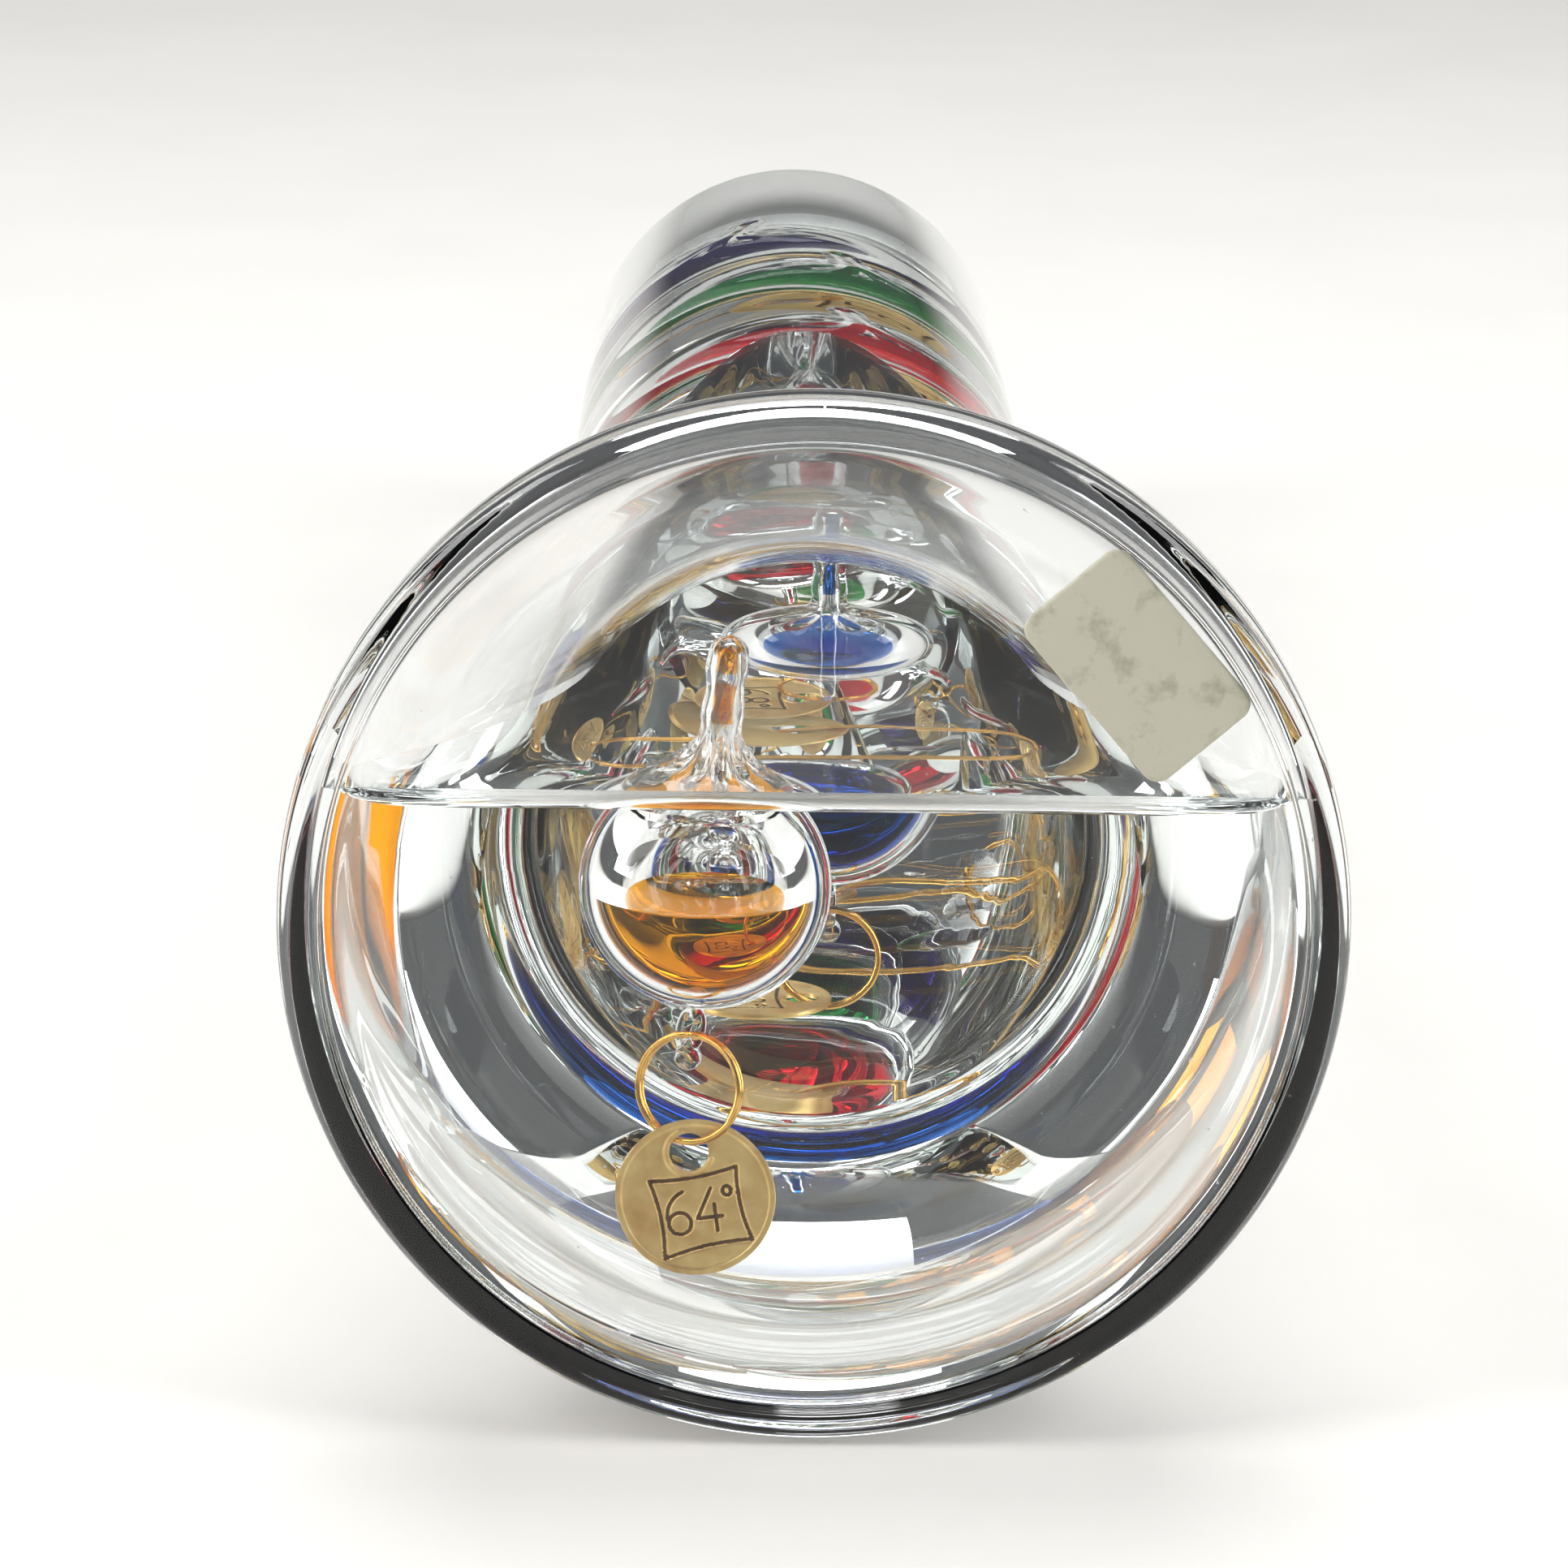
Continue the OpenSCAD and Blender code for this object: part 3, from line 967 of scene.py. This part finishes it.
        # How far below the neck's top each drop starts and ends; both its ends are hollow
        for bottom, top in ((3.1, 1.0), (7.6, 4.4)):
            low, high = self.neck_top - bottom, self.neck_top - top
            drop = [(0, low + 0.5), (side * 0.6, low + 0.3), (side, low), (side, high),
                    (side * 0.6, high - 0.3), (0, high - 0.5)]
            drops.append(placed(spun("dye_drop", drop, 32), self.upright))
        surface = DyedLiquid(f"{self.name}_dye_surface", Index.DYE_TO_AIR.value, self.dye.shallow,
                             self.dye.deep, pool_top).material()
        body = DyedLiquid(f"{self.name}_dye_against_glass", Index.NONE.value, self.dye.shallow, self.dye.deep,
                          pool_top).material()
        floor = pool_top - 0.05 * MM
        assign(pool, [surface, body], lambda face: int(face.center.z < floor or face.normal.z < 0.3))
        for drop in drops:
            assign(drop, [surface, body], lambda face: 1)
            smoothed(drop, 40)
        smoothed(pool, 60)
        return joined(pool, *drops)

    def ring(self) -> bpy.types.Object:
        """Makes the split ring: two close turns of round wire with cut ends."""
        turns, per_turn = 1.96, 72
        pitch = 2 * self.wire_r + 0.01
        count = int(turns * per_turn)
        curve = bpy.data.curves.new("split_ring", "CURVE")
        curve.dimensions = "3D"
        curve.bevel_depth = self.wire_r * MM
        curve.bevel_resolution = 5
        curve.use_fill_caps = True
        path = curve.splines.new("POLY")
        path.points.add(count)
        for i, point in enumerate(path.points):
            angle = -0.6 + math.tau * turns * i / count
            # Most of the step between the two turns is taken in a short stretch
            along = (math.tanh(6 * (i / count - 0.5)) / math.tanh(3)) * pitch / 2
            spread = self.ring_r + 0.02 * math.sin(3 * angle)
            point.co = (spread * math.cos(angle) * MM, along * MM, spread * math.sin(angle) * MM, 1)
        only(linked("split_ring", curve))
        bpy.ops.object.convert(target="MESH")
        ring = sealed(bpy.context.object)
        turn = Matrix.Rotation(math.radians(self.turn), 4, "Z")
        placed(ring, self.hung @ Matrix.Translation((0, 0, -self.ring_r * MM)) @ turn)
        assign(ring, [DrawnBrassWire(f"{self.name}_drawn_brass_wire").material()], lambda face: 0)
        smoothed(ring, 50)
        return ring

    @property
    def hung(self) -> Matrix:
        """The lean and shift that hang a ring or a tag in the eye."""
        lean = Matrix.Rotation(math.radians(-self.ring_lean), 4, "X")
        return Matrix.Translation(self.hang * MM) @ lean

    @property
    def tag_place(self) -> Matrix:
        """Puts a tag, drawn flat with its hole in the middle, on its ring."""
        if self.way is TagWay.HANGING:
            drop = Matrix.Translation((0, 0, -(2 * self.ring_r + self.thread_rise) * MM))
            roll = Matrix.Rotation(math.radians(self.tag_roll), 4, "Z")
            return self.hung @ drop @ Matrix.Rotation(math.pi / 2, 4, "X") @ roll
        reach = math.sqrt(self.ring_r ** 2 - (self.ring_r - self.lying_rise) ** 2)
        side = self.way.value * reach
        drop = Matrix.Translation((side * MM, 0, (self.lying_rise - 2 * self.ring_r) * MM))
        return self.hung @ drop @ Matrix.Rotation(self.way.value * math.pi / 2, 4, "Z")

    def blank(self) -> bpy.types.Object:
        """Turns the tag's round blank, with close rings on its face, and punches its hole."""
        half, edge, rings, steps = self.tag_t / 2, 0.06, 84, 220
        face_z = half - self.rim_h
        rim = self.tag_r - edge
        profile = [(0, -half), (rim, -half), (self.tag_r, edge - half), (self.tag_r, face_z - edge)]
        profile += [(rim * (1 - i / rings), face_z) for i in range(rings + 1)]
        blank = spun("tag_blank", profile, steps)
        bpy.ops.object.select_all(action="DESELECT")
        bpy.ops.mesh.primitive_cylinder_add(vertices=64, radius=self.hole_r * MM, depth=4 * self.tag_t * MM)
        punch = bpy.context.object
        placed(punch, Matrix.Translation((0, self.hole_offset * MM, 0)))
        cut(blank, punch, "DIFFERENCE")
        return blank

    def relief(self, x: np.ndarray, y: np.ndarray) -> np.ndarray:
        """Works out how far the stamp lifts or sinks the tag's face.

        Args:
            x: Places across the tag, in millimetres.
            y: Places up the tag, in millimetres.

        Returns:
            The lift at each place, in millimetres.
        """
        far, rim_w, rim_slope, lip_middle, lip_slope, lip_from, lip_to = 9.0, 0.62, 0.16, 0.3, 0.24, 100, 340
        gap = np.full(x.shape, far)
        for line in self.frame_lines() + self.reading_lines():
            for (ax, ay), (bx, by) in zip(line, line[1:]):
                dx, dy = bx - ax, by - ay
                along = np.clip(((x - ax) * dx + (y - ay) * dy) / (dx * dx + dy * dy), 0, 1)
                gap = np.minimum(gap, np.hypot(x - ax - along * dx, y - ay - along * dy))
        groove = -self.groove_depth * np.clip(1.3 - gap / (self.groove_w / 2), 0, 1)
        radius = np.hypot(x, y)
        rim = self.rim_h * np.clip((radius - (self.tag_r - rim_w)) / rim_slope, 0, 1)
        from_hole = np.hypot(x, y - self.hole_offset) - self.hole_r
        round_hole = np.degrees(np.arctan2(y - self.hole_offset, x)) % 360
        lip = np.clip(1.2 - np.abs(from_hole - lip_middle) / lip_slope, 0, 1)
        return groove + rim + self.lip_h * lip * ((round_hole > lip_from) & (round_hole < lip_to))

    def tag(self) -> bpy.types.Object:
        """Makes the stamped tag, with a raised rim, a lipped hole, a struck frame and its reading."""
        tag = self.blank()
        count = len(tag.data.vertices)
        places = np.zeros(count * 3)
        tag.data.vertices.foreach_get("co", places)
        places = places.reshape(-1, 3) / MM
        face_z = self.tag_t / 2 - self.rim_h
        top = places[:, 2] > face_z - 0.01
        lift = self.relief(places[:, 0], places[:, 1])
        places[top, 2] += lift[top]
        # The blank was cut by hand: its edge isn't quite round
        wobble = random.Random(self.reading)
        lobes = [(wobble.uniform(0.01, 0.035), wobble.uniform(0, math.tau)) for _ in range(4)]
        turn = np.arctan2(places[:, 1], places[:, 0])
        pull = sum(size * (1 + np.sin((k + 2) * turn + start)) / 2 for k, (size, start) in enumerate(lobes))
        places[:, :2] *= (1 - pull * np.hypot(places[:, 0], places[:, 1]) / self.tag_r ** 2)[:, None]
        tag.data.vertices.foreach_set("co", (places * MM).ravel())
        tag.data.update()
        # A face sunk by nearly half of a groove counts as the groove's floor; these floors get a dark copy of
        # the brass, which is painted shade in the grooves
        struck = (face_z - 0.45 * self.groove_depth) * MM
        bottom = (0.1 - self.tag_t / 2) * MM
        assign(tag, [StampedBrass(f"{self.name}_stamped_brass").material(),
                     StampedBrass(f"{self.name}_painted_groove_shade", "#7A5528", "#4E3619", 0.5).material()],
               lambda face: int(bottom < face.center.z < struck and self.inside_frame(face.center)))
        smoothed(tag, 50)
        return placed(tag, self.tag_place @ Matrix.Translation((0, -self.hole_offset * MM, 0)))

    def inside_frame(self, place: Vector) -> bool:
        """Says whether a place on the tag is on its struck part, away from its rim and its hole."""
        from_hole = math.hypot(place.x / MM, place.y / MM - self.hole_offset)
        return from_hole > self.hole_r + 0.05 and math.hypot(place.x, place.y) < (self.tag_r - 0.6) * MM

    def frame_lines(self) -> list[Profile]:
        """Returns the four hollow sides of the frame struck round the reading."""
        corners = [(-3.75, 1.95), (3.9, 2.35), (4.5, -4.25), (-3.35, -5.15)]
        middle = (sum(x for x, _ in corners) / 4, sum(y for _, y in corners) / 4)
        lines = []
        for start, end in zip(corners, corners[1:] + corners[:1]):
            half = [(a + b) / 2 for a, b in zip(start, end)]
            bend = [h + 0.2 * (m - h) for h, m in zip(half, middle)]
            line = []
            for i in range(11):
                t = i / 10
                line.append(tuple(a * (1 - t) ** 2 + 2 * c * t * (1 - t) + b * t ** 2
                                  for a, b, c in zip(start, end, bend)))
            lines.append(line)
        return lines

    def reading_lines(self) -> list[Profile]:
        """Returns the strokes of the reading, placed inside the frame."""
        lines = []
        for place, character in enumerate(self.reading):
            for line in numeral(character):
                lines.append([(self.reading_x + self.reading_h * (x + 0.68 * place),
                               self.reading_y + self.reading_h * y) for x, y in line])
        return lines

    def build(self) -> None:
        """Builds the float's four pieces, names them, attaches them to their bodies and hides the parts they
        stand for.
        """
        name = self.name
        handed_in(self.glass(), f"{name}_bulb", f"{name}_float", "float_glass", f"{name}_float_glass")
        handed_in(self.dyes(), f"{name}_dye_pool", f"{name}_float", f"{name}_dye", f"{name}_float_dye")
        handed_in(self.ring(), f"{name}_split_ring", f"{name}_ring", "brass_wire", f"{name}_ring")
        handed_in(self.tag(), f"{name}_stamped_tag", f"{name}_tag", "brass_tag", f"{name}_tag")


# --- The studio --------------------------------------------------------------------------------------------


@dataclass
class Studio:
    """A pale floor, soft lights and the camera."""

    floor_colour: str = "#DEDCD8"
    camera_distance: float = 488.0
    camera_side: float = -6.4
    lens: float = 134.3
    ray_down: float = 18.72
    axis_down: float = 17.26
    axis_right: float = 0.46
    roll: float = 0.8

    def camera(self, vessel: Vessel) -> None:
        """Makes the camera, looking down the tube from in front of the foot.

        Args:
            vessel: The vessel, whose foot face the camera's distance is measured from.
        """
        data = bpy.data.cameras.new("camera")
        data.lens = self.lens
        data.sensor_width = 36
        data.clip_start = 0.01
        data.clip_end = 20
        camera = linked("camera", data)
        down = math.radians(self.ray_down)
        foot = Vector((0, -vessel.mid_y, vessel.axis_h))
        back = Vector((0, -math.cos(down), math.sin(down))) * self.camera_distance
        camera.location = (foot + back + Vector((self.camera_side, 0, 0))) * MM
        aim = Matrix.Rotation(math.radians(-self.axis_right), 4, "Z")
        tilt = Matrix.Rotation(math.radians(90 - self.axis_down), 4, "X")
        camera.rotation_euler = (aim @ tilt @ Matrix.Rotation(math.radians(self.roll), 4, "Z")).to_euler()
        bpy.context.scene.camera = camera

    def floor(self) -> None:
        """Makes the pale floor that the thermometer lies on."""
        bpy.ops.object.select_all(action="DESELECT")
        bpy.ops.mesh.primitive_plane_add(size=6, location=(0, 0, 0))
        floor = bpy.context.object
        floor.name = "floor"
        material, tree, shader, place = fresh_material("matt_board")
        tinted(tree, shader, clouded(tree, place, 40.0, 3.0), self.floor_colour, "#D6D4D0")
        shader.inputs["Roughness"].default_value = 0.55
        floor.data.materials.append(material)

    def softbox(self, name: str, place: tuple[float, float, float], size: tuple[float, float],
                power: float) -> None:
        """Adds a rectangular lamp that faces the thermometer.

        Args:
            name: The lamp's name.
            place: Its middle, in metres.
            size: Its width and height, in metres.
            power: Its power in watts.
        """
        data = bpy.data.lights.new(name, "AREA")
        data.shape = "RECTANGLE"
        data.size, data.size_y = size
        data.energy = power
        lamp = linked(name, data)
        lamp.location = place
        aim = Vector((0, -0.05, 0.04)) - lamp.location
        lamp.rotation_euler = aim.to_track_quat("-Z", "Y").to_euler()

    def light(self) -> None:
        """Sets the soft boxes and the even light round them."""
        self.softbox("left_box", (-0.75, -0.3, 0.5), (0.45, 0.8), 20)
        self.softbox("right_box", (0.75, -0.3, 0.5), (0.45, 0.8), 18)
        self.softbox("top_box", (0.0, 0.3, 1.0), (1.0, 0.6), 22)
        world = bpy.data.worlds.new("even_light")
        bpy.context.scene.world = world
        world.use_nodes = True
        sky = world.node_tree.nodes["Background"]
        sky.inputs["Color"].default_value = linear("#C4C8CC")
        sky.inputs["Strength"].default_value = 0.3
        bpy.context.scene.view_settings.view_transform = "Standard"
        bpy.context.scene.view_settings.exposure = -1.05
        rays = bpy.context.scene.cycles
        rays.max_bounces = 40
        rays.transmission_bounces = 40
        rays.glossy_bounces = 12
        rays.transparent_max_bounces = 24


# --- The whole thermometer ---------------------------------------------------------------------------------


FLOATS = (
    dict(name="amber", reading="64°", dye=Dye("#FFB600", "#EE8600"), way=TagWay.HANGING, wet_all_over=False,
         lean=5.0, turn=-24.0, tag_roll=8.0, ring_lean=10.0),
    dict(name="blue", reading="68°", dye=Dye("#1878D8", "#061280"), way=TagWay.LEFT, wet_all_over=True),
    dict(name="red", reading="72°", dye=Dye("#F01830", "#B00818"), way=TagWay.LEFT, wet_all_over=True),
    dict(name="green", reading="76°", dye=Dye("#14A850", "#086830"), way=TagWay.LEFT, wet_all_over=True),
    dict(name="violet", reading="80°", dye=Dye("#342470", "#160A40"), way=TagWay.RIGHT, wet_all_over=True),
)


def main() -> None:
    """Builds the thermometer and its studio."""
    logging.basicConfig(level=logging.INFO, format="%(name)s: %(message)s")
    studio = Studio()
    vessel = Vessel()
    studio.camera(vessel)
    vessel.build()
    for sizes in FLOATS:
        Float(**sizes).build()
    studio.floor()
    studio.light()
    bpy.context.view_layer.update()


if __name__ == "__main__":
    main()
